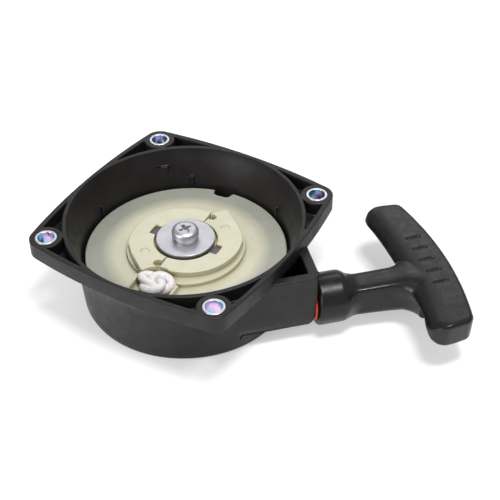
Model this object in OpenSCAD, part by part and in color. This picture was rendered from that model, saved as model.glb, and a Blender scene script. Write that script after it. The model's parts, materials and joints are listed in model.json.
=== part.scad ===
// Recoil starter: a bowl-shaped housing with a four-bolt flange, a rope reel on a
// centre post, a spiral return spring in its own case, and a T-shaped pull handle.
// The origin is the centre of the bolt circle on the mounting face. +Z points out of
// the open side, towards the engine. +X is the way the handle is pulled.

/* [Housing] */
// Side of the square that the four bolt centres make
bolt_square = 80; // [76:1:84]
// Distance from the axis to the middle of each bulged flange side
flange_half = 49.9; // [49:0.1:51]
// Radius of the bulge of each flange side
side_bulge_r = 260; // [200:10:400]
// Thickness of the flange
flange_t = 7.2; // [6:0.2:9]
// Height of the housing from its back to its mounting face
housing_h = 39.7; // [39.5:0.1:42]
// Outer radius of the bowl at its back
bowl_back_r = 44.35; // [44.2:0.05:46]
// Thickness of the moulded walls
wall = 2.3; // [1.8:0.1:2.4]
// Outer radius of the centre post
post_r = 6; // [5.5:0.1:6.5]

/* [Rope outlet] */
// Distance of the rope's line from the reel's axis
rope_offset = 36.3; // [36:0.1:36.6]
// Depth of the rope's line below the mounting face
rope_depth = 24.9; // [24.5:0.1:25.1]
// How far the outlet box reaches along the rope
nose_reach = 45.3; // [45:0.1:46]
// Depth of the outlet box's rim below the mounting face
nose_rim = 5.7; // [5:0.1:7]
// Depth of the outlet box's underside below the mounting face
nose_low = 33.3; // [33.2:0.1:34]

/* [Reel] */
// Outer radius of the reel
reel_r = 42.3; // [41:0.1:42.4]
// Depth of the reel's upper face below the mounting face
reel_depth = 17.65; // [17:0.05:18]
// Thickness of each rope flange
rope_flange_t = 1.3; // [1:0.1:1.3]
// Height of the drive cam above the reel's upper face
cam_h = 5; // [4:0.1:5.5]
// Direction of the rope knot's pocket around the reel
knot_angle = 231; // [225:1:236]

/* [Rope] */
// Diameter of the rope
rope_d = 3.8; // [3.2:0.1:3.8]
// Turns of rope on the reel
rope_turns = 4; // [3:1:4]

/* [Return spring] */
// Turns of the spiral spring
spring_turns = 9; // [6:1:10]
// Thickness of the spring strip
strip_t = 0.5; // [0.3:0.1:0.7]
// Width of the spring strip
strip_w = 6; // [5:0.1:6]

/* [Pull handle] */
// Length of the cross bar
bar_len = 80.4; // [70:0.2:84]
// Thickness of the cross bar
bar_t = 12.6; // [11:0.2:13]
// Distance from the reel's axis to the bar's outer edge
bar_reach = 101.9; // [100.5:0.1:103]
// Diameter of the round collar
collar_d = 21.4; // [20:0.2:23]

/* [Hidden] */
$fn = 96;
e = 0.5;                               // overshoot of a cut past a face

// Flange
bolt_r = bolt_square / sqrt(2);
side_mid = (side_bulge_r - flange_half) / sqrt(2);
corner_dist = norm([bolt_r + side_mid, side_mid]);
// The corners' rounding runs smoothly into the bulged sides
corner_r = side_bulge_r - corner_dist + 0.03;
ring_r = 50;
mouth_r = 48.1;
bushing_r = 4.5;
bushing_bore_r = 3.3;
pocket_floor = -6;
tip_cut = bolt_r + corner_r * (bolt_r + side_mid) / corner_dist;

// Bowl
floor_t = 2.5;
floor_z = floor_t - housing_h;
back_round = 2;
back_step_r = 31;
back_step = 0.8;
rib_r = 42.85;
rib_w = 1.4;

// Reel levels
reel_top = -reel_depth;
platform_r = 24.9;
platform_h = 2;
platform_top = reel_top + platform_h;
cam_top = reel_top + cam_h;
rope_z = -rope_depth;
groove_top = reel_top - rope_flange_t;
groove_low = rope_z - rope_d / 2 - 0.1;
reel_low = groove_low - rope_flange_t;
hub_r = 9;
run_gap = 0.05;

// Spring case levels
case_t = 1;
case_r = 40.7;
case_floor = floor_z + case_t;
cover_t = 0.8;
cover_low = reel_low - 0.5 - cover_t;
hub_low = case_floor + 0.3;
strip_low = case_floor + 0.4;
spring_r0 = hub_r + 0.7;
spring_r1 = case_r - case_t - 0.9;
tab_out = 1.6;
tab_in = 2.4;
tab_gap = 0.6;

// Centre fasteners
washer_r = 12.3;
washer_t = 1.6;
washer_low = -13.2;
lock_t = 1.4;
lock_r = 5.2;
head_r = 5.65;
head_h = 3.6;
thread_r = 3;
insert_r = 4;
insert_len = 14;
head_low = washer_low + washer_t + lock_t;
recess_r = 13.3;
recess_floor = -15.1;
plate_t = 1.5;
plate_angle = 139;
ear_r = 15.8;
ear_w = 5.2;
knot_at = 26.6;
knot_r = 6.4;

// Rope
rope_pitch = rope_d + 0.25;
rope_r1 = rope_offset;
coil_r0 = rope_r1 - rope_pitch * rope_turns;
core_r = coil_r0 - rope_d / 2 - 0.1;
coil_steps = 76;
pocket_x = 91;
lead_start = 0.4;
lead_end = pocket_x + 0.9;

// Rope outlet
nose_w = 44.7;
nose_back = 24.9;
nose_draft = 1.7;
nose_round = 4.5;
nose_lean = 1.3;
guide_bore_r = 2.4;
guide_r = 5;
guide_face = 43.9;
guide_flange_r = 8.3;
guide_flange_t = 1;
guide_tail = 5.4;

// Handle
collar_r = collar_d / 2;
collar_x0 = guide_face + guide_flange_t + 0.4;
collar_x1 = 57;
shoulder_x1 = 62;
stem_w = 11.6;
stem_t = 14.4;
stem_off = -0.9;
stem_clip_r = 8.6;
bar_edge_r = 150;
bar_mid = -20.9;
bar_off = 1;
bar_pivot = 90;
bar_turn = 2.7;
bar_layers = 5;
bar_edge_round = 1.6;
bar_inner_round = 7.5;
pocket_r = 4.7;
pocket_wall = 1.7;

plastic = [0.17, 0.16, 0.17];
nylon = [0.88, 0.87, 0.72];
zinc = [0.74, 0.75, 0.78];
brass = [0.78, 0.63, 0.32];
rope_white = [0.92, 0.91, 0.9];

// Point at radius r and angle a
function polar(r, a) = [r * cos(a), r * sin(a)];

// Turn a shape drawn along +Z so that it lies along the rope's line
module along_rope(x) {
    translate([x, -rope_offset, rope_z]) rotate([0, 90, 0]) children();
}

// ---------- housing ----------

// Bulged square made by four large arcs; inset moves its sides inwards
module bulged_square(inset) {
    reach = side_bulge_r - flange_half;
    intersection_for(a = [45 : 90 : 315])
        translate(polar(-reach, a)) circle(r = side_bulge_r - inset, $fn = 720);
}

module flange_outline() {
    intersection() {
        bulged_square(0);
        square(2 * tip_cut, center = true);
    }
    for (a = [0 : 90 : 270])
        translate(polar(bolt_r, a)) circle(r = corner_r);
}

// Blind triangular hollows on both sides of each bolt boss
module flange_pockets() {
    translate([0, 0, pocket_floor]) linear_extrude(-pocket_floor + e)
        difference() {
            bulged_square(wall);
            circle(r = ring_r);
            for (a = [0 : 90 : 270])
                translate(polar(bolt_r, a)) circle(r = corner_r);
        }
}

module flange_plate() {
    translate([0, 0, -flange_t]) linear_extrude(flange_t) flange_outline();
}

module bowl_outside() {
    rotate_extrude($fn = 180)
        polygon([
            [0, -flange_t + 0.1],
            [48.1, -flange_t + 0.1],
            [48.1, -flange_t - 0.6],
            [46.3, -13.2],
            [45.5, -20],
            [bowl_back_r + 0.5, -31],
            [bowl_back_r, -housing_h + back_round],
            [bowl_back_r - 0.6, -housing_h + 0.6],
            [bowl_back_r - back_round, -housing_h],
            [0, -housing_h]
        ]);
}

module bowl_inside() {
    rotate_extrude($fn = 180)
        polygon([
            [0, e],
            [mouth_r, e],
            [mouth_r, -1.2],
            [45.9, -flange_t],
            [44.1, -13.2],
            [43.3, -20],
            [42.9, -31],
            [42.3, floor_z],
            [0, floor_z]
        ]);
}

// Outline of the rope outlet seen from the side, with its drafted end
module nose_side() {
    polygon([
        [0, -nose_rim],
        [nose_reach, -nose_rim],
        [nose_reach - nose_draft, -nose_low + nose_round],
        for (a = [0 : 15 : 90])
            [nose_reach - nose_draft - nose_round, -nose_low + nose_round]
            + polar(nose_round, -a),
        [0, -nose_low]
    ]);
}

// The outlet's front face leans inwards towards its underside
module nose_front() {
    polygon([
        [e, e - nose_rim],
        [-nose_w, e - nose_rim],
        [-nose_w + nose_lean, nose_round - nose_low],
        [-nose_w + nose_lean + 1, 1 - nose_low],
        [-nose_w + nose_lean + 2.4, -nose_low],
        [e, -nose_low]
    ]);
}

module nose_outside() {
    intersection() {
        rotate([90, 0, 90]) linear_extrude(nose_reach) nose_front();
        translate([0, -nose_back + wall, 0]) rotate([90, 0, 0])
            linear_extrude(nose_w - nose_back + wall) nose_side();
        translate([0, 0, -housing_h]) linear_extrude(housing_h) union() {
            translate([0, -nose_w]) square([nose_reach - 3, nose_w]);
            translate([0, 3 - nose_w]) square([nose_reach + e, nose_w]);
            translate([nose_reach - 3, 3 - nose_w]) circle(r = 3);
        }
    }
}

// Hollow of the rope outlet, kept clear of the flange and of the bowl's own wall
module nose_inside() {
    inner_end = guide_face - 2.8;
    front = wall + nose_lean - nose_w;
    difference() {
        translate([0, front, wall - nose_low])
            cube([inner_end, -front - nose_back, nose_low]);
        flange_plate();
        bowl_outside();
    }
}

// Window in the bowl's wall that the rope passes through
module rope_window() {
    translate([20, -rope_offset - 4.5, rope_z - 4.5]) cube([19, 11, 9]);
}

module inner_ribs() {
    for (a = [15 : 60 : 315])
        rotate(a) translate([rib_r, -rib_w / 2, floor_z]) cube([1.6, rib_w, 25]);
    // Half-round boss high on the wall opposite the rope's side
    translate([0, 46.6, -13.4]) cylinder(r = 2.2, h = 8.4);
}

module post() {
    translate([0, 0, floor_z - e]) cylinder(r = post_r, h = washer_low - floor_z + e);
}

module housing() {
    color(plastic) difference() {
        union() {
            difference() {
                union() {
                    flange_plate();
                    bowl_outside();
                    nose_outside();
                }
                bowl_inside();
                nose_inside();
                rope_window();
            }
            intersection() {
                inner_ribs();
                bowl_outside();
            }
            post();
        }
        flange_pockets();
        for (a = [0 : 90 : 270])
            translate([bolt_r * cos(a), bolt_r * sin(a), -flange_t - e])
                cylinder(r = bushing_r, h = flange_t + 2 * e);
        translate([0, 0, washer_low - insert_len]) cylinder(r = insert_r, h = 40);
        translate([0, 0, washer_low - insert_len - 3]) cylinder(r = thread_r + 0.2, h = 4);
        along_rope(guide_face - guide_tail - 0.3) cylinder(r = guide_r, h = 10);
        // Spot face that the rope guide's flange sits on
        along_rope(guide_face) cylinder(r = guide_flange_r + 0.4, h = 5);
        // Core-out behind the post and a shallow step in the closed back
        translate([0, 0, -housing_h - e]) cylinder(r = 3.4, h = 6 + e);
        translate([0, 0, -housing_h - e]) difference() {
            cylinder(r = back_step_r, h = back_step + e);
            translate([0, 0, -e]) cylinder(r = 10, h = back_step + 3 * e);
        }
    }
}

// Steel sleeve that takes the bolt's clamping load
module flange_bushing(a) {
    color(zinc) translate([bolt_r * cos(a), bolt_r * sin(a), -flange_t])
        difference() {
            cylinder(r = bushing_r, h = flange_t);
            translate([0, 0, -e]) cylinder(r = bushing_bore_r, h = flange_t + 2 * e);
        }
}

// Smooth eyelet that the rope runs through
module rope_guide() {
    color([0.83, 0.16, 0.07]) along_rope(guide_face - guide_tail) rotate_extrude()
        polygon([
            [guide_bore_r + 1.3, 0],
            [guide_r, 0],
            [guide_r, guide_tail],
            [guide_flange_r, guide_tail],
            [guide_flange_r, guide_tail + guide_flange_t],
            [guide_bore_r + 1, guide_tail + guide_flange_t],
            [guide_bore_r, guide_tail + guide_flange_t - 1.2],
            [guide_bore_r, 1.4]
        ]);
}

// ---------- centre fasteners ----------

module threaded_insert() {
    color(brass) translate([0, 0, washer_low - insert_len]) difference() {
        cylinder(r = insert_r, h = insert_len);
        translate([0, 0, -e]) cylinder(r = thread_r + 0.02, h = insert_len + 2 * e);
    }
}

module retaining_washer() {
    color(zinc) translate([0, 0, washer_low]) difference() {
        cylinder(r = washer_r, h = washer_t);
        translate([0, 0, -e]) cylinder(r = thread_r + 0.25, h = washer_t + 2 * e);
    }
}

// Split lock washer held on the screw
module spring_washer() {
    color(zinc) translate([0, 0, washer_low + washer_t]) difference() {
        cylinder(r = lock_r, h = lock_t);
        translate([0, 0, -e]) cylinder(r = thread_r + 0.15, h = lock_t + 2 * e);
        rotate([0, 0, 205]) translate([0, -0.4, -e]) cube([lock_r + 1, 0.8, lock_t + 2 * e]);
    }
}

// Pan-head screw with a cross recess
module retaining_screw() {
    color(zinc) difference() {
        union() {
            translate([0, 0, head_low]) rotate_extrude()
                polygon([
                    [0, 0],
                    [head_r, 0],
                    [head_r, head_h * 0.55],
                    [head_r - 0.5, head_h * 0.8],
                    [head_r - 1.6, head_h - 0.1],
                    [0, head_h]
                ]);
            translate([0, 0, washer_low - insert_len + 1])
                cylinder(r = thread_r, h = head_low - washer_low + insert_len);
        }
        for (a = [20, 110])
            translate([0, 0, head_low + head_h]) rotate(a)
                cube([5.4, 1.2, 4.4], center = true);
    }
}

// ---------- return spring ----------

module spring_case() {
    color([0.5, 0.51, 0.53]) difference() {
        translate([0, 0, floor_z]) cylinder(r = case_r, h = cover_low - floor_z);
        translate([0, 0, case_floor]) cylinder(r = case_r - case_t, h = 20);
        translate([0, 0, floor_z - e]) cylinder(r = post_r + 1, h = 3);
        // Slot that the spring's outer end hooks into
        translate([case_r - case_t - 0.2, -strip_t - tab_gap, case_floor])
            cube([3, strip_t + 2 * tab_gap, 20]);
    }
}

module spring_cover() {
    color([0.56, 0.57, 0.59]) translate([0, 0, cover_low]) difference() {
        cylinder(r = case_r, h = cover_t);
        translate([0, 0, -e]) cylinder(r = hub_r + 1.5, h = cover_t + 2 * e);
    }
}

// Radius of the spring at fraction t of its turns: open at the hub, close at the case
function spring_r(t) =
    spring_r0 + (spring_r1 - spring_r0) * (0.5 * t + 0.5 * (1 - (1 - t) * (1 - t)));

module recoil_spring() {
    steps = spring_turns * 24;
    // The strip's two ends are bent: outwards into the case's slot, inwards into the hub's
    color([0.42, 0.43, 0.45]) translate([0, 0, strip_low]) linear_extrude(strip_w)
        polygon([
            for (i = [0 : steps])
                polar(spring_r(i / steps), 360 * spring_turns * i / steps),
            [spring_r1 + tab_out, 0],
            [spring_r1 + tab_out, -strip_t],
            [spring_r1 + strip_t, -strip_t],
            for (i = [steps - 1 : -1 : 0])
                polar(spring_r(i / steps) + strip_t, 360 * spring_turns * i / steps),
            [spring_r0 + strip_t, -strip_t],
            [spring_r0 - tab_in, -strip_t],
            [spring_r0 - tab_in, 0]
        ]);
}

// ---------- reel ----------

// Half of the drive cam: a lobe that ends in a steep tooth face at the angle tooth_a
module cam_half() {
    tooth_a = 45;
    polygon([
        [0, 0],
        polar(14.8, tooth_a),
        polar(21, tooth_a + 2),
        for (a = [tooth_a + 8 : 10 : 165]) polar(20.2 + 3.6 * (a - tooth_a) / 120, a),
        polar(23.8, 171),
        polar(23.6, 180 + 8),
        polar(26.0, 180 + 35.5),
        polar(21, 180 + tooth_a - 1)
    ]);
}

module cam_outline() {
    difference() {
        union() {
            cam_half();
            rotate(180) cam_half();
        }
        // Undercut in front of each tooth face
        for (a = [45, 225]) rotate(a) translate([18.2, -1.5]) circle(r = 1.8);
    }
}

module plate_outline(grow) {
    rotate(plate_angle) union() {
        circle(r = 11 + grow);
        intersection() {
            square([2 * ear_r + 4, ear_w + 2 * grow], center = true);
            circle(r = ear_r + grow);
        }
    }
}

module reel_profile() {
    bore = post_r + run_gap;
    polygon([
        [bore, platform_top],
        [platform_r, platform_top],
        [platform_r, reel_top],
        [reel_r - 0.4, reel_top],
        [reel_r, reel_top - 0.4],
        [reel_r, groove_top + 0.1],
        [reel_r - 0.3, groove_top],
        [core_r, groove_top],
        [core_r, groove_low],
        [reel_r - 0.3, groove_low],
        [reel_r, groove_low - 0.2],
        [reel_r, reel_low + 0.3],
        [reel_r - 0.3, reel_low],
        [hub_r, reel_low],
        [hub_r, hub_low],
        [bore, hub_low]
    ]);
}

// Notch in the rim that the rope is hooked into when the spring is wound up
module rim_notch() {
    translate([0, 0, reel_low - e]) linear_extrude(reel_top - reel_low + 2 * e)
        polygon([
            polar(45, 48.4), polar(42, 49), polar(39.4, 50), polar(38.5, 51.4),
            polar(38.5, 58), polar(39.3, 60), polar(40.4, 61), polar(45, 60.6)
        ]);
}

module reel() {
    color(nylon) difference() {
        union() {
            rotate_extrude($fn = 180) reel_profile();
            translate([0, 0, platform_top - 0.1])
                linear_extrude(cam_top - platform_top + 0.1) cam_outline();
            // Low walls around the knot's pocket
            rotate(knot_angle) translate([knot_at - 2.2, -9.5, groove_top + 0.3])
                cube([10.2, 19, 3.4]);
        }
        translate([0, 0, recess_floor]) cylinder(r = recess_r, h = 10);
        translate([0, 0, recess_floor]) linear_extrude(10) plate_outline(0.3);
        translate([0, 0, hub_low - e]) cylinder(r = post_r + run_gap, h = 40);
        rotate(knot_angle) translate([knot_at, 0, groove_top + 0.6]) linear_extrude(12) {
            circle(r = knot_r + 0.6);
            translate([0, -8.2]) square([knot_r + 0.6, 16.4]);
        }
        // Hole that the rope goes down through, from the knot to the groove
        rotate(knot_angle) translate([knot_at - 1.7, 0, groove_top - 1])
            cylinder(r = rope_d / 2 + 0.2, h = 4);
        rim_notch();
        for (a = [11, 190])
            translate([18.1 * cos(a), 18.1 * sin(a), cam_top - 0.6])
                cylinder(r = 1.9, h = 2);
        // Slot in the hub for the spring's inner end
        translate([spring_r0 - tab_in - 0.2, -strip_t - tab_gap / 2, hub_low - e])
            cube([tab_in, strip_t + tab_gap, strip_w + 1]);
        // Core-outs under the cam
        for (a = [0 : 60 : 300]) rotate(a + 15) translate([12.6, 0, reel_low - e])
            cylinder(r = 2.4, h = 6);
    }
}

// Flat plate with two ears, keyed into the reel under the retaining washer
module thrust_plate() {
    color([0.27, 0.24, 0.26]) translate([0, 0, recess_floor]) difference() {
        linear_extrude(plate_t) plate_outline(0);
        translate([0, 0, -e]) cylinder(r = post_r + 0.3, h = plate_t + 2 * e);
    }
}

// ---------- rope ----------

// Point of the wound rope after i of its steps
function coil_point(i) =
    let (t = i / coil_steps, a = -90 - 360 * rope_turns * (1 - t))
    [(coil_r0 + (rope_r1 - coil_r0) * t) * cos(a),
     (coil_r0 + (rope_r1 - coil_r0) * t) * sin(a), rope_z];

// Eight-sided tube along points that all lie level
module level_tube(points, r) {
    sides = 8;
    last = len(points) - 1;
    rings = [for (i = [0 : last])
        let (d = points[min(i + 1, last)] - points[max(i - 1, 0)],
             n = [d[1], -d[0], 0] / norm(d))
        for (k = [0 : sides - 1])
            points[i] + r * (n * cos(45 * k + 22.5) + [0, 0, sin(45 * k + 22.5)])];
    polyhedron(rings, concat(
        [[for (k = [0 : sides - 1]) k]],
        [[for (k = [sides - 1 : -1 : 0]) last * sides + k]],
        [for (i = [0 : last - 1], k = [0 : sides - 1])
            let (m = (k + 1) % sides)
            [i * sides + k, (i + 1) * sides + k, (i + 1) * sides + m, i * sides + m]]),
        convexity = 6);
}

module rope_coil() {
    color(rope_white) level_tube([for (i = [0 : coil_steps]) coil_point(i)], rope_d / 2);
}

// Straight run from the reel to the knot in the handle
module rope_lead() {
    color(rope_white) along_rope(lead_start) cylinder(r = rope_d / 2, h = lead_end - lead_start);
}

// Rounded lump that a knot makes, of radius r and height h
module knot(r, h) {
    rotate_extrude($fn = 48)
        polygon([
            [0, 0],
            for (a = [-60 : 15 : 60]) [r * cos(a), h / 2 * (1 + sin(a) / sin(60))],
            [0, h]
        ]);
}

module reel_knot() {
    color(rope_white) rotate(knot_angle) translate([knot_at, 0, groove_top + 0.7])
        knot(knot_r, 5.6);
}

module handle_knot() {
    color(rope_white) along_rope(lead_end) knot(4.3, 6);
}

// Flat washer that spreads the knot's load on the bottom of its pocket
module knot_washer() {
    color(zinc) along_rope(pocket_x) difference() {
        cylinder(r = pocket_r - 0.3, h = 0.8);
        translate([0, 0, -e]) cylinder(r = rope_d / 2 + 0.3, h = 3);
    }
}

// ---------- pull handle ----------

// Half of the bar's outline in plan, from the stem's line to one rounded end
module bar_half() {
    half = bar_len / 2;
    tip_in = 79.3;
    corner_y = half - 3;
    polygon([
        [72, 0],
        [72, stem_w / 2],
        [76, 7.4],
        [79.4, 9.8],
        [81.3, 13],
        [81.6, 18],
        [tip_in + 1.4, 25],
        [tip_in + 0.2, 30],
        [tip_in, half - 5],
        [tip_in + 1.2, half - 1.8],
        [tip_in + 3.6, half - 0.3],
        [tip_in + 6.6, half],
        [93.4, half - 1.4],
        [95.4, half - 2],
        for (y = [corner_y - 0.4 : -corner_y / 6 : 0])
            [bar_reach - bar_edge_r + sqrt(bar_edge_r * bar_edge_r - y * y), y]
    ]);
}

module bar_outline() {
    bar_half();
    mirror([0, 1]) bar_half();
}

// The bar is a stack of level layers: its inner side is well rounded, its outer edge less.
// It sits slightly turned about +Z, as the handle does when it hangs on its rope.
module bar() {
    translate([bar_pivot, bar_off - rope_offset, bar_mid]) rotate(bar_turn)
        translate([-bar_pivot, 0, 0]) for (s = [0 : bar_layers - 1])
            let (curve = 1 - cos(90 * s / bar_layers),
                 h = bar_t * sin(90 * (s + 1) / bar_layers))
            linear_extrude(h, center = true)
                offset(delta = -bar_edge_round * curve - 0.02) intersection() {
                    bar_outline();
                    translate([bar_inner_round * curve, 0]) bar_outline();
                }
}

module stem() {
    translate([0, stem_off - rope_offset, rope_z]) rotate([90, 0, 90])
        translate([0, 0, shoulder_x1 - 2]) linear_extrude(24)
            intersection() {
                square([stem_w, stem_t], center = true);
                circle(r = stem_clip_r);
            }
    // Boss around the knot's pocket
    along_rope(78) cylinder(r = pocket_r + pocket_wall, h = bar_reach - 79.6);
    along_rope(collar_x0) rotate_extrude()
        polygon([
            [0, 0],
            [collar_r - 0.6, 0],
            [collar_r, 0.6],
            [collar_r, collar_x1 - collar_x0 - 0.8],
            [collar_r - 0.8, collar_x1 - collar_x0],
            [stem_w / 2, shoulder_x1 - collar_x0],
            [0, shoulder_x1 - collar_x0]
        ]);
}

module pull_handle() {
    color(plastic) difference() {
        union() {
            stem();
            bar();
        }
        along_rope(collar_x0 - e) cylinder(r = rope_d / 2 + 0.4, h = 60);
        along_rope(pocket_x) cylinder(r = pocket_r, h = 20);
        // Cone that centres the collar over the guide
        along_rope(collar_x0 - 0.01) cylinder(r1 = 4.4, r2 = rope_d / 2 + 0.4, h = 3);
    }
}

// ---------- nodes ----------

housing();
flange_bushing(0);  // flange_bushing_1
flange_bushing(90);  // flange_bushing_2
flange_bushing(180);  // flange_bushing_3
flange_bushing(270);  // flange_bushing_4
rope_guide();
threaded_insert();
spring_case();
spring_cover();
recoil_spring();
retaining_washer();
spring_washer();
retaining_screw();
reel();
thrust_plate();
rope_coil();
reel_knot();
rope_lead();
handle_knot();
knot_washer();
pull_handle();
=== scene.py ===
"""Looks of the recoil starter: rounded mouldings, a translucent reel, braided rope and a soft studio."""
import json
import math

import bmesh
import bpy
import numpy as np
from mathutils import Matrix, Vector

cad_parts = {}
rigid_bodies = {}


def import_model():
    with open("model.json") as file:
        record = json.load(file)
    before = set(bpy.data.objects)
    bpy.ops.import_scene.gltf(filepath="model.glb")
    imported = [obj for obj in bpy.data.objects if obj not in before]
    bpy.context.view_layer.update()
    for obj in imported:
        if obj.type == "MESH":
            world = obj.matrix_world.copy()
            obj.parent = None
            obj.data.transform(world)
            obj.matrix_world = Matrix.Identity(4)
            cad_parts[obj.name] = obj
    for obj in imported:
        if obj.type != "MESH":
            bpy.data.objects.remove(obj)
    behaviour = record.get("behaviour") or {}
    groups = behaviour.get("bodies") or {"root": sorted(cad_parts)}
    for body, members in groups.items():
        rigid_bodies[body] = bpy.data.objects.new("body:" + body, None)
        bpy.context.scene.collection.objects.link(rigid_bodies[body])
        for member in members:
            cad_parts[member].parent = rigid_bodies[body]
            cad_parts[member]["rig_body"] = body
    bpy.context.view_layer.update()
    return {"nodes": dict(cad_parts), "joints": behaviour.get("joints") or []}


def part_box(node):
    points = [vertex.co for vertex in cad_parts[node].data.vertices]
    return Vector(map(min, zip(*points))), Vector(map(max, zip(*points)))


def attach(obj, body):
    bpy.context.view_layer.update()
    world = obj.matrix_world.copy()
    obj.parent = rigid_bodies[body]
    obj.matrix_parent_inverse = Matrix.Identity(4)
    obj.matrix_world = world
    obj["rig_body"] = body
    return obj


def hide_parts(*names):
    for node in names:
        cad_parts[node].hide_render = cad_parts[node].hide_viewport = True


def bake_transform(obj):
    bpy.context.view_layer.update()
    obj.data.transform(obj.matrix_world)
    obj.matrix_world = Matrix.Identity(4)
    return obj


MM = 0.001

# Camera: where the photograph was taken from
VIEW_AIM = Vector((26.28, -5.14, -20)) * MM
VIEW_DISTANCE = 477.5 * MM
VIEW_AZIMUTH = -13.31
VIEW_ELEVATION = 40.07
VIEW_ROLL = -0.76
LENS = 81.53

# Rounding of the moulded and pressed edges, in millimetres
ROUNDINGS = {
    "housing": 0.42, "reel": 0.35, "rope_guide": 0.35, "retaining_washer": 0.25,
    "spring_washer": 0.2, "retaining_screw": 0.3, "thrust_plate": 0.2, "knot_washer": 0.15,
    "flange_bushing_1": 0.3, "flange_bushing_2": 0.3,
    "flange_bushing_3": 0.3, "flange_bushing_4": 0.3,
}
ROUNDING_STEPS = 3
WELD = 0.002
SHARP_ANGLE = math.radians(32)
FLAT_ANGLE = math.radians(0.4)
SHAPE_ANGLE = math.radians(60)

# Rope: length of one turn of its braid, depth of the braid as a part of the radius, knots' half sizes
BRAID_PITCH = 5.2
BRAID_DEPTH = 0.16
REEL_KNOT = (6.9, 8.6, 3.0)
HANDLE_KNOT = (4.3, 4.3, 3.0)

# Handle: the bar's turn about +Z, and the box and cell size of its surface, in millimetres
BAR_PIVOT = 90
BAR_TURN = math.radians(2.7)
HANDLE_LOW = (43.5, -78, -37)
HANDLE_HIGH = (103.5, 8, -12)
HANDLE_CELL = 0.4

# Studio: each light's place, aim and size in metres, and its power
LIGHTS = {
    "overhead": ((0.12, -0.26, 0.95), (0.04, -0.03, -0.02), (0.32, 0.22), 9),
    "left_box": ((-0.85, -0.4, 0.35), (0, 0, -0.02), (0.4, 0.5), 6),
    "back_box": ((0.3, 0.9, 0.75), (0.05, 0, -0.02), (0.9, 0.3), 2),
}
WORLD_STRENGTH = 0.42
FLOOR_HALF = 3.0
FLOOR_GAP = 0.2 * MM

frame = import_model()


def box_mm(node):
    """Lowest and highest corners of a CAD node, in millimetres."""
    low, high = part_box(node)
    return np.array(low) / MM, np.array(high) / MM


def joint(name):
    """The frame's entry for a joint."""
    return next(j for j in frame["joints"] if j["name"] == name)


lead_low, lead_high = box_mm("rope_lead")
handle_low, handle_high = box_mm("pull_handle")
ROPE_Y = (lead_low[1] + lead_high[1]) / 2
ROPE_Z = (lead_low[2] + lead_high[2]) / 2
ROPE_R = (lead_high[2] - lead_low[2]) / 2
COLLAR_X0 = handle_low[0]
BAR_REACH = handle_high[0]
BAR_Y = (handle_low[1] + handle_high[1]) / 2
BAR_HALF = (handle_high[1] - handle_low[1]) / 2
BAR_TOP = handle_high[2]
PULL_LENGTH = joint("handle_pull")["range_m"][1] / MM


# ---------- making meshes ----------

def new_piece(name, mesh, body):
    """A new object in the scene, riding on a body if one is given."""
    piece = bpy.data.objects.new(name, mesh)
    bpy.context.scene.collection.objects.link(piece)
    if body:
        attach(piece, body)
    return piece


def mesh_from(name, points, faces):
    """A smooth-shaded mesh from points in metres."""
    mesh = bpy.data.meshes.new(name)
    mesh.from_pydata([tuple(p) for p in points], [], [tuple(f) for f in faces])
    mesh.update()
    mesh.shade_smooth()
    return mesh


def clean_copy(node):
    """A CAD node's shape as a welded mesh with whole flat faces."""
    work = bmesh.new()
    work.from_mesh(frame["nodes"][node].data)
    bmesh.ops.remove_doubles(work, verts=work.verts, dist=WELD * MM)
    bmesh.ops.join_triangles(work, faces=work.faces, angle_face_threshold=FLAT_ANGLE,
                             angle_shape_threshold=SHAPE_ANGLE)
    work.verts.ensure_lookup_table()
    points = [v.co.copy() for v in work.verts]
    faces = [[v.index for v in f.verts] for f in work.faces]
    work.free()
    return mesh_from(node + "_mesh", points, faces)


def rounded(node, body, width):
    """A piece that stands for a CAD node, with its hard edges rounded."""
    piece = new_piece(node + "_form", clean_copy(node), None)
    bevel = piece.modifiers.new("edges", "BEVEL")
    bevel.width = width * MM
    bevel.segments = ROUNDING_STEPS
    bevel.limit_method = "ANGLE"
    bevel.angle_limit = SHARP_ANGLE
    bevel.use_clamp_overlap = False
    bevel.loop_slide = False
    bevel.miter_outer = "MITER_ARC"
    weighted = piece.modifiers.new("shading", "WEIGHTED_NORMAL")
    weighted.weight = 80
    weighted.keep_sharp = True
    graph = bpy.context.evaluated_depsgraph_get()
    piece.data = bpy.data.meshes.new_from_object(piece.evaluated_get(graph))
    piece.modifiers.clear()
    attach(piece, body)
    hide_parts(node)
    return piece


# ---------- solid shapes as distance fields, in millimetres ----------

def blend_in(a, b, r):
    """Both a and b, with the edge where they meet rounded to radius r."""
    u = np.maximum(a + r, 0)
    v = np.maximum(b + r, 0)
    return np.hypot(u, v) - r + np.minimum(np.maximum(a + r, b + r), 0)


def blend_out(a, b, r):
    """Either a or b, with a fillet of radius r where they meet."""
    return -blend_in(-a, -b, r)


def turned(x, y):
    """Places in the bar's own frame, which sits slightly turned about +Z."""
    c, s = math.cos(BAR_TURN), math.sin(BAR_TURN)
    return (BAR_PIVOT + c * (x - BAR_PIVOT) + s * (y - BAR_Y),
            c * (y - BAR_Y) - s * (x - BAR_PIVOT))


def grip_marks(x, y, height):
    """A row of plain shallow slots across the bar's flat top."""
    count, spacing, mark_x, half_length, half_width, depth = 5, 7.2, 93.4, 2.6, 0.55, 0.5
    nearest = np.clip(np.round(y / spacing), -(count // 2), count // 2) * spacing
    along = np.maximum(np.abs(x - mark_x) - half_length, 0)
    return np.maximum(np.hypot(along, y - nearest) - half_width, -height - depth)


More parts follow.
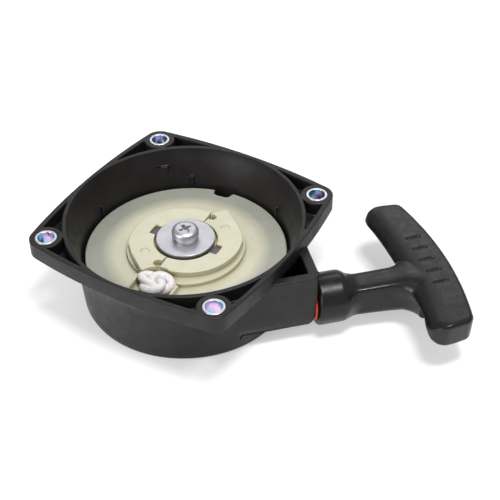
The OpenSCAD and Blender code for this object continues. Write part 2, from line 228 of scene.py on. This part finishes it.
def bar_field(x, y, z):
    """Cross bar: a curved outer edge, a well-rounded inner side and sloping ends."""
    edge_r, inner_x, inner_flare, inner_round, inner_run = 150, 81.8, 4.2, 5.9, 0.6
    thickness, outer_round, corner_round, mark_round = 12.6, 1.9, 2.6, 0.2
    end_taper, taper_x, end_slope, slope_up, end_run = 0.15, 86, 0.12, 6, 0.7
    under_x, under_slope, fade_run, fade_start = 92, 0.35, 8, 0.6
    x, y = turned(x, y)
    across = np.abs(y)
    up = z - BAR_TOP + thickness / 2
    outer = np.hypot(x - BAR_REACH + edge_r, across) - edge_r
    # the underside rises towards the inner side, except at the near end
    fade = np.clip((y + BAR_HALF) / fade_run - fade_start, 0, 1)
    under = under_slope * np.maximum(under_x - x, 0) * fade
    faces = np.maximum(up, under - up) - thickness / 2
    end = across - BAR_HALF + end_taper * np.maximum(x - taper_x, 0) - end_slope * (up - slope_up)
    inner = (inner_x - inner_flare * (across / BAR_HALF) ** 3 - x) * inner_run
    side = blend_in(blend_in(outer, end, corner_round), faces, outer_round)
    side = blend_in(side, end_run * (inner + end), inner_round)
    bar = blend_in(side, inner, inner_round)
    return blend_in(bar, -grip_marks(x, y, up - thickness / 2), mark_round)


def stem_field(x, y, z):
    """Stem with a flat top and bottom, running into the bar."""
    half_w, half_t, clip_r, offset, drift, drift_x = 5.9, 7.1, 8.6, -0.8, -0.065, 60
    drop, rise, rise_x, middle_x, half_run = 0.2, 0.03, 62, 67, 17
    edge_round, clip_round, end_round = 1.0, 1.2, 2
    grown = rise * np.maximum(x - rise_x, 0)
    aside = y - ROPE_Y - offset - drift * (x - drift_x)
    up = z - ROPE_Z + drop - grown
    sides = blend_in(np.abs(aside) - half_w, np.abs(up) - (half_t + grown), edge_round)
    section = blend_in(sides, np.hypot(aside, up) - clip_r - grown, clip_round)
    return blend_in(section, np.abs(x - middle_x) - half_run, end_round)


def web_field(x, y, z):
    """Web that fills the stem's near corner with the bar in one sweeping curve."""
    sweep, corner_x, aside, half_t, drop, slope = 11.5, 84, 7.0, 6.6, 0.1, 0.3
    edge_round, cover = 2.4, 4
    corner_y = ROPE_Y - aside
    curve = sweep - np.hypot(x - corner_x + sweep, y - corner_y + sweep)
    up = z - ROPE_Z + drop
    raised = slope * np.maximum(corner_y - y, 0)
    solid = blend_in(curve, np.maximum(up, raised - up) - half_t, edge_round)
    ends = np.maximum(corner_x - sweep - x, corner_y - sweep - y)
    return np.maximum(solid, np.maximum(ends, np.maximum(x - corner_x, y - corner_y) - cover))


def collar_field(x, radius, up):
    """Round collar with a conical shoulder; its end face leans like the outlet's."""
    collar_r, shoulder_x0, shoulder_x1, shoulder_r, lean = 10.7, 57, 62, 6.2, 0.05
    end_round, shoulder_round = 1.3, 1.0
    run, drop = shoulder_x1 - shoulder_x0, collar_r - shoulder_r
    shoulder = ((x - shoulder_x0) * drop + (radius - collar_r) * run) / math.hypot(run, drop)
    drum = blend_in(radius - collar_r, COLLAR_X0 + lean * up - x, end_round)
    return blend_in(drum, shoulder, shoulder_round)


def handle_field(x, y, z):
    """The whole handle, with the rope's hole and the knot's pocket."""
    pocket_x, pocket_r, hole_r, wall, boss_x, boss_half = 91, 4.7, 2.3, 1.7, 90, 10.5
    far_fillet, near_gain, gain_start, gain_run = 3.2, 5, 4, 15
    web_fillet, collar_fillet, boss_fillet = 1.4, 2.5, 2
    boss_round, hole_round, mouth_round = 1, 0.5, 0.6
    radius = np.hypot(y - ROPE_Y, z - ROPE_Z)
    fillet = far_fillet + near_gain * np.clip((ROPE_Y + gain_start - y) / gain_run, 0, 1)
    shape = blend_out(stem_field(x, y, z), bar_field(x, y, z), fillet)
    shape = blend_out(shape, web_field(x, y, z), web_fillet)
    shape = blend_out(shape, collar_field(x, radius, z - ROPE_Z), collar_fillet)
    boss = blend_in(radius - pocket_r - wall, np.abs(x - boss_x) - boss_half, boss_round)
    shape = blend_out(shape, boss, boss_fillet)
    shape = blend_in(shape, hole_r - radius, hole_round)
    mouth = blend_in(shape, pocket_r - radius, mouth_round)
    return np.where(x > pocket_x, mouth, shape)


def surface_net(field, low, high, step):
    """Points and quads of the surface where field is zero, on a grid of cells."""
    axes = [np.arange(a, b, step) for a, b in zip(low, high)]
    grid = np.meshgrid(*axes, indexing="ij")
    inside = field(*grid) < 0
    size = [n - 1 for n in inside.shape]
    corners = [inside[i:size[0] + i, j:size[1] + j, k:size[2] + k]
               for i in (0, 1) for j in (0, 1) for k in (0, 1)]
    count = sum(c.astype(np.int8) for c in corners)
    mixed = (count > 0) & (count < 8)
    index = -np.ones(mixed.shape, int)
    index[mixed] = np.arange(mixed.sum())
    cells = np.argwhere(mixed)
    points = (cells + 0.5) * step + np.array(low)
    return points, net_faces(inside, index)


def net_faces(inside, index):
    """Quads around every grid edge that crosses the surface."""
    faces = []
    for axis in range(3):
        other = [a for a in range(3) if a != axis]
        solid = np.moveaxis(inside, [axis] + other, [0, 1, 2])
        cell = np.moveaxis(index, [axis] + other, [0, 1, 2])
        a, b = solid[:-1, 1:-1, 1:-1], solid[1:, 1:-1, 1:-1]
        crossing = np.argwhere(a != b)
        i, j, k = crossing[:, 0], crossing[:, 1], crossing[:, 2]
        quad = np.stack([cell[i, j, k], cell[i, j + 1, k],
                         cell[i, j + 1, k + 1], cell[i, j, k + 1]], axis=1)
        flip = a[i, j, k] == (axis == 1)
        quad[flip] = quad[flip][:, ::-1]
        faces.append(quad)
    return np.concatenate(faces)


def pulled_to(field, points, rounds=6):
    """Points moved along the field's slope until they lie on its surface."""
    reach, least_slope = 0.05, 0.5
    steps = np.eye(3) * reach
    for _ in range(rounds):
        value = field(*points.T)
        slope = np.stack([(field(*(points + s).T) - field(*(points - s).T)) / (2 * reach)
                          for s in steps], axis=1)
        size = np.maximum((slope ** 2).sum(1), least_slope ** 2)
        points = points - slope * (value / size)[:, None]
    return points


def handle_piece():
    """The handle as one surface that stands for its CAD node."""
    points, faces = surface_net(handle_field, HANDLE_LOW, HANDLE_HIGH, HANDLE_CELL)
    points = pulled_to(handle_field, points)
    piece = new_piece("handle_form", mesh_from("handle_mesh", points * MM, faces), "handle")
    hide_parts("pull_handle")
    return piece


# ---------- rope ----------

def braid(angle, length, strands=8):
    """Height of a braid's surface, from 0 to 1, at an angle round the rope and a length along it."""
    turn = 2 * math.pi * length / BRAID_PITCH
    left = np.abs(np.cos(strands / 2 * (angle + turn / 2)))
    right = np.abs(np.cos(strands / 2 * (angle - turn / 2)))
    return np.maximum(left, right)


def rope_mesh(name, path, radius, lengths, sides=20, closed=False):
    """Braided rope along a path of points, in millimetres."""
    skew = (0.13, 0.31, 0.94)
    path = np.asarray(path, float)
    ahead = np.roll(path, -1, 0) - np.roll(path, 1, 0)
    if not closed:
        ahead[0] = path[1] - path[0]
        ahead[-1] = path[-1] - path[-2]
    ahead /= np.linalg.norm(ahead, axis=1)[:, None]
    side = np.cross(ahead, skew)
    side /= np.linalg.norm(side, axis=1)[:, None]
    up = np.cross(side, ahead)
    angle = np.arange(sides) * 2 * math.pi / sides
    a, s = np.meshgrid(angle, lengths)
    r = radius * (1 - BRAID_DEPTH + BRAID_DEPTH * braid(a, s))
    ring = r[..., None] * (np.cos(a)[..., None] * side[:, None] + np.sin(a)[..., None] * up[:, None])
    points = (path[:, None] + ring).reshape(-1, 3)
    n = len(path)
    faces = [(i * sides + k, i * sides + (k + 1) % sides,
              (i + 1) % n * sides + (k + 1) % sides, (i + 1) % n * sides + k)
             for i in range(n if closed else n - 1) for k in range(sides)]
    if not closed:
        faces.append(tuple(range(sides))[::-1])
        faces.append(tuple((n - 1) * sides + k for k in range(sides)))
    return mesh_from(name, points * MM, faces)


def rope_lead():
    """The rope from the reel to the handle's knot; its braid is even once the rope is pulled out."""
    start, end, ring_gap, inner_gap, sides = 1.0, COLLAR_X0 - 0.6, 0.9, 0.8, 16
    t = np.linspace(0, 1, 4000)
    place = start + (end - start) * t
    pulled = place + PULL_LENGTH * t * t * (3 - 2 * t)
    even = np.arange(pulled[0], pulled[-1], ring_gap)
    x = np.concatenate([np.linspace(lead_low[0], start, 3)[:-1], np.interp(even, pulled, place),
                        np.arange(end + inner_gap, lead_high[0], inner_gap)])
    t = np.clip((x - start) / (end - start), 0, 1)
    lengths = x + PULL_LENGTH * t * t * (3 - 2 * t)
    path = np.stack([x, np.full_like(x, ROPE_Y), np.full_like(x, ROPE_Z)], axis=1)
    piece = new_piece("rope_run", rope_mesh("rope_run_mesh", path, ROPE_R, lengths, sides), None)
    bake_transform(piece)
    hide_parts("rope_lead")
    return piece


def knot_piece(name, node, body, frame_turn, reach):
    """A tight three-lobed knot of the same rope; reach is its half size along its own axes."""
    low, high = box_mm(node)
    lobes, steps, strand, sides = 3, 320, 0.62, 28
    t = np.linspace(0, 2 * math.pi, steps, endpoint=False)
    wave = 2 + np.cos(lobes * t)
    path = np.stack([wave * np.cos(2 * t) / 3, wave * np.sin(2 * t) / 3, np.sin(lobes * t)], axis=1)
    rope_r = strand * reach[2]
    path = path * (np.array(reach) - rope_r) @ frame_turn.T + (low + high) / 2
    step = np.linalg.norm(np.roll(path, -1, 0) - path, axis=1)
    length = step.sum()
    lengths = (np.cumsum(step) - step[0]) * round(length / BRAID_PITCH) * BRAID_PITCH / length
    piece = new_piece(name, rope_mesh(name + "_mesh", path, rope_r, lengths, sides, closed=True), body)
    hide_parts(node)
    return piece


# ---------- materials ----------

class Nodes:
    """A material's node tree, with short ways to add and join nodes."""

    def __init__(self, name):
        self.material = bpy.data.materials.new(name)
        self.material.use_nodes = True
        self.tree = self.material.node_tree
        self.shader = self.tree.nodes["Principled BSDF"]
        self.place = self.add("ShaderNodeTexCoord").outputs["Object"]

    def add(self, kind, **settings):
        """A new node with some of its settings."""
        node = self.tree.nodes.new(kind)
        for key, value in settings.items():
            setattr(node, key, value)
        return node

    def join(self, output, target):
        self.tree.links.new(output, target)

    def set(self, **values):
        """Constants on the shader's inputs; an underscore stands for a space."""
        for key, value in values.items():
            self.shader.inputs[key.replace("_", " ")].default_value = value

    def noise(self, size, detail=4, rough=0.6):
        """Noise whose features are about size millimetres across."""
        node = self.add("ShaderNodeTexNoise")
        node.inputs["Scale"].default_value = 1 / (size * MM)
        node.inputs["Detail"].default_value = detail
        node.inputs["Roughness"].default_value = rough
        self.join(self.place, node.inputs["Vector"])
        return node.outputs["Fac"]

    def spread(self, value, low, high, out_low, out_high):
        """A value taken from one range to another."""
        node = self.add("ShaderNodeMapRange")
        self.join(value, node.inputs["Value"])
        for key, number in (("From Min", low), ("From Max", high),
                            ("To Min", out_low), ("To Max", out_high)):
            node.inputs[key].default_value = number
        return node.outputs["Result"]

    def ramp(self, value, stops):
        """A colour for a value, from (position, colour) stops."""
        node = self.add("ShaderNodeValToRGB")
        items = node.color_ramp.elements
        while len(items) < len(stops):
            items.new(0.5)
        for item, (at, color) in zip(items, stops):
            item.position = at
            item.color = (*color, 1)
        self.join(value, node.inputs["Fac"])
        return node.outputs["Color"]

    def bump(self, height, strength, distance):
        """Relief from a height, with its depth in millimetres."""
        node = self.add("ShaderNodeBump")
        node.inputs["Strength"].default_value = strength
        node.inputs["Distance"].default_value = distance * MM
        self.join(height, node.inputs["Height"])
        self.join(node.outputs["Normal"], self.shader.inputs["Normal"])

    def mix(self, factor, a, b, mode="MIX"):
        node = self.add("ShaderNodeMix", data_type="RGBA", blend_type=mode)
        self.fill(node.inputs[0], factor)
        self.fill(node.inputs[6], a)
        self.fill(node.inputs[7], b)
        return node.outputs[2]

    def fill(self, socket, value):
        """Gives a socket a link, a colour or a number."""
        if isinstance(value, bpy.types.NodeSocket):
            self.join(value, socket)
        elif isinstance(value, tuple):
            socket.default_value = (*value, 1)
        else:
            socket.default_value = value


def moulded(name, dark, light, rough, grain, gloss=0.5):
    """Glass-filled nylon: mottled charcoal with a fine grain."""
    n = Nodes(name)
    mottle = n.noise(9)
    n.join(n.ramp(mottle, [(0.35, dark), (0.65, light)]), n.shader.inputs["Base Color"])
    n.join(n.spread(n.noise(3.5), 0.35, 0.65, rough - 0.05, rough + 0.07), n.shader.inputs["Roughness"])
    n.bump(n.noise(0.35, detail=2), grain, 0.06)
    n.set(Specular_IOR_Level=gloss)
    return n.material


def metal(name, color, rough, scratch=0.2):
    """Plated steel: slightly uneven tone with fine scratches."""
    n = Nodes(name)
    darker = tuple(0.9 * c for c in color)
    n.join(n.ramp(n.noise(6, detail=2), [(0.3, darker), (0.7, color)]), n.shader.inputs["Base Color"])
    n.join(n.spread(n.noise(0.9), 0.3, 0.7, rough - 0.06, rough + 0.08), n.shader.inputs["Roughness"])
    n.bump(n.noise(0.5, detail=6, rough=0.8), scratch, 0.02)
    n.set(Metallic=1.0)
    return n.material


def passivated(name):
    """Rainbow chromate film inside the sleeves."""
    n = Nodes(name)
    film = n.ramp(n.noise(6, detail=0), [
        (0.2, (0.18, 0.35, 0.62)), (0.38, (0.16, 0.62, 0.66)), (0.5, (0.62, 0.42, 0.78)),
        (0.62, (0.85, 0.6, 0.78)), (0.8, (0.35, 0.5, 0.85))])
    n.join(film, n.shader.inputs["Base Color"])
    n.join(n.spread(n.noise(1.0), 0.3, 0.7, 0.18, 0.3), n.shader.inputs["Roughness"])
    n.set(Metallic=1.0)
    return n.material


def reel_nylon():
    """Natural nylon: creamy inside, greyer where the thin rim lets the dark show, with painted amber shade
    in its crevices.
    """
    reel_r = 0.0425
    n = Nodes("reel_nylon")
    split = n.add("ShaderNodeSeparateXYZ")
    n.join(n.place, split.inputs[0])
    flat = n.add("ShaderNodeCombineXYZ")
    n.join(split.outputs["X"], flat.inputs["X"])
    n.join(split.outputs["Y"], flat.inputs["Y"])
    length = n.add("ShaderNodeVectorMath", operation="LENGTH")
    n.join(flat.outputs[0], length.inputs[0])
    cream, rim, edge = (0.53, 0.515, 0.40), (0.29, 0.30, 0.262), (0.42, 0.34, 0.27)
    tone = n.ramp(n.spread(length.outputs["Value"], 0, reel_r, 0, 1), [
        (0.0, cream), (0.70, (0.52, 0.505, 0.395)), (0.84, rim), (0.985, rim), (1.0, edge)])
    cloud = n.ramp(n.noise(7), [(0.3, (0.93, 0.92, 0.86)), (0.7, (1, 1, 1))])
    tone = n.mix(1.0, tone, cloud, "MULTIPLY")
    # Painted shade: ambient occlusion darkens the base colour to amber in crevices and gaps.
    painted_crevice_shade = n.add("ShaderNodeAmbientOcclusion", samples=8)
    painted_crevice_shade.inputs["Distance"].default_value = 2.5 * MM
    amber_painted_shade = n.ramp(painted_crevice_shade.outputs["AO"], [(0.35, (0.62, 0.5, 0.2)), (0.8, (1, 1, 1))])
    n.join(n.mix(1.0, tone, amber_painted_shade, "MULTIPLY"), n.shader.inputs["Base Color"])
    n.join(n.spread(n.noise(3), 0.3, 0.7, 0.34, 0.46), n.shader.inputs["Roughness"])
    n.bump(n.noise(0.8, detail=2), 0.12, 0.05)
    n.set(Subsurface_Weight=0.45, Subsurface_Radius=(1.0, 0.8, 0.4), Subsurface_Scale=2.5 * MM)
    return n.material


def rope_fibre():
    """White polyester braid: soft sheen, yarn grain and slightly grey valleys."""
    n = Nodes("rope_fibre")
    n.join(n.ramp(n.noise(0.6), [(0.3, (0.52, 0.50, 0.49)), (0.6, (0.76, 0.74, 0.74))]),
           n.shader.inputs["Base Color"])
    n.join(n.spread(n.noise(1.5), 0.3, 0.7, 0.55, 0.75), n.shader.inputs["Roughness"])
    n.bump(n.noise(0.25, detail=3), 0.6, 0.12)
    n.set(Sheen_Weight=0.25, Sheen_Roughness=0.4)
    return n.material


MATERIALS = {
    "housing": moulded("black_nylon", (0.007, 0.006, 0.0062), (0.012, 0.0105, 0.0108),
                       0.42, 0.25, 0.3),
    "handle": moulded("black_nylon_gloss", (0.006, 0.0052, 0.0055), (0.0085, 0.0075, 0.0078),
                      0.3, 0.12, 0.32),
    "guide": moulded("red_plastic", (0.30, 0.02, 0.007), (0.42, 0.034, 0.012), 0.35, 0.1),
    "plate": moulded("dark_plate", (0.055, 0.045, 0.055), (0.085, 0.072, 0.085), 0.4, 0.15),
    "zinc": metal("zinc_steel", (0.56, 0.56, 0.60), 0.42, 0.08),
    "sleeve": metal("sleeve_zinc", (0.66, 0.67, 0.69), 0.36, 0.08),
    "film": passivated("sleeve_film"),
    "case": metal("case_steel", (0.55, 0.56, 0.58), 0.38),
    "spring": metal("spring_steel", (0.36, 0.37, 0.40), 0.32),
    "brass": metal("insert_brass", (0.80, 0.60, 0.28), 0.35),
    "reel": reel_nylon(),
    "rope": rope_fibre(),
}


def paint(piece, key):
    """Gives a piece one of the materials in place of its own."""
    piece.data.materials.clear()
    piece.data.materials.append(MATERIALS[key])


def paint_sleeve(piece):
    """Bright sleeve with a rainbow film on its bore."""
    steepest = 0.3
    paint(piece, "sleeve")
    piece.data.materials.append(MATERIALS["film"])
    low = Vector(piece.bound_box[0])
    centre = (low + Vector(piece.bound_box[6])) / 2
    for face in piece.data.polygons:
        out = face.center - centre
        out.z = 0
        if face.normal.dot(out) < 0 and abs(face.normal.z) < steepest:
            face.material_index = 1


# ---------- the starter ----------

# Material and colour slot of each rounded piece, and material of each CAD node that is shown as it is
FINISH = {
    "housing": ("housing", "housing_plastic"), "rope_guide": ("guide", "guide_red"),
    "retaining_washer": ("zinc", "zinc_steel"), "spring_washer": ("zinc", "zinc_steel"),
    "retaining_screw": ("zinc", "zinc_steel"), "knot_washer": ("zinc", "zinc_steel"),
    "thrust_plate": ("plate", "plate_dark"), "reel": ("reel", "reel_nylon"),
}
KEPT = {"threaded_insert": "brass", "spring_case": "case", "spring_cover": "case",
        "recoil_spring": "spring", "rope_coil": "rope"}


def build_rounded():
    """The moulded and pressed pieces."""
    for node, width in ROUNDINGS.items():
        body = frame["nodes"][node]["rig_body"]
        piece = rounded(node, body, width)
        if node.startswith("flange_bushing"):
            paint_sleeve(piece)
        else:
            key, slot = FINISH[node]
            paint(piece, key)


def build_rope():
    """The run of rope and the knots at its two ends."""
    low, high = box_mm("reel_knot")
    around = math.atan2(low[1] + high[1], low[0] + high[0])
    lying = np.array(Matrix.Rotation(around, 3, "Z"))
    along = np.array([[0, 0, 1], [0, 1, 0], [-1, 0, 0]], float)
    pieces = [rope_lead(),
              knot_piece("reel_knot_form", "reel_knot", "reel", lying, REEL_KNOT),
              knot_piece("handle_knot_form", "handle_knot", "rope_end", along, HANDLE_KNOT)]
    for piece in pieces:
        paint(piece, "rope")


def build_starter():
    """Every piece, with its material."""
    build_rounded()
    build_rope()
    handle = handle_piece()
    paint(handle, "handle")
    for node, key in KEPT.items():
        paint(frame["nodes"][node], key)


# ---------- studio ----------

def direction(azimuth, elevation):
    """Unit vector towards the viewer; azimuth 0 looks along +Y."""
    a, e = math.radians(azimuth), math.radians(elevation)
    return Vector((math.sin(a) * math.cos(e), -math.cos(a) * math.cos(e), math.sin(e)))


def add_camera():
    """The photograph's camera."""
    camera = bpy.data.objects.new("camera", bpy.data.cameras.new("camera"))
    back = direction(VIEW_AZIMUTH, VIEW_ELEVATION)
    camera.location = VIEW_AIM + VIEW_DISTANCE * back
    turn = back.to_track_quat("Z", "Y").to_matrix().to_4x4()
    camera.rotation_euler = (turn @ Matrix.Rotation(math.radians(VIEW_ROLL), 4, "Z")).to_euler()
    camera.data.lens = LENS
    camera.data.clip_start = 0.01
    bpy.context.scene.collection.objects.link(camera)
    bpy.context.scene.camera = camera


def add_light(name, place, target, size, power):
    """A soft box aimed at a target."""
    light = bpy.data.lights.new(name, "AREA")
    light.shape = "RECTANGLE"
    light.size, light.size_y = size
    light.energy = power
    lamp = bpy.data.objects.new(name, light)
    lamp.location = place
    lamp.rotation_euler = (Vector(place) - Vector(target)).to_track_quat("Z", "Y").to_euler()
    bpy.context.scene.collection.objects.link(lamp)


def add_floor():
    """Pale paper under the part, a little lower than its back."""
    half = FLOOR_HALF
    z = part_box("housing")[0].z - FLOOR_GAP
    mesh = mesh_from("floor_mesh", [(-half, -half, z), (half, -half, z), (half, half, z), (-half, half, z)],
                     [(0, 1, 2, 3)])
    floor = new_piece("floor", mesh, None)
    n = Nodes("floor_paper")
    n.join(n.ramp(n.noise(30), [(0.3, (0.58, 0.58, 0.58)), (0.7, (0.6, 0.6, 0.6))]),
           n.shader.inputs["Base Color"])
    n.set(Roughness=0.9, Specular_IOR_Level=0.1, Emission_Color=(1, 1, 1, 1), Emission_Strength=0.4)
    mesh.materials.append(n.material)


def add_studio():
    """Floor, lights and an even white surround."""
    add_floor()
    for name, values in LIGHTS.items():
        add_light(name, *values)
    world = bpy.data.worlds.new("studio")
    world.use_nodes = True
    world.node_tree.nodes["Background"].inputs["Color"].default_value = (1, 1, 1, 1)
    world.node_tree.nodes["Background"].inputs["Strength"].default_value = WORLD_STRENGTH
    bpy.context.scene.world = world
    bpy.context.scene.view_settings.view_transform = "Standard"


build_starter()
add_camera()
add_studio()
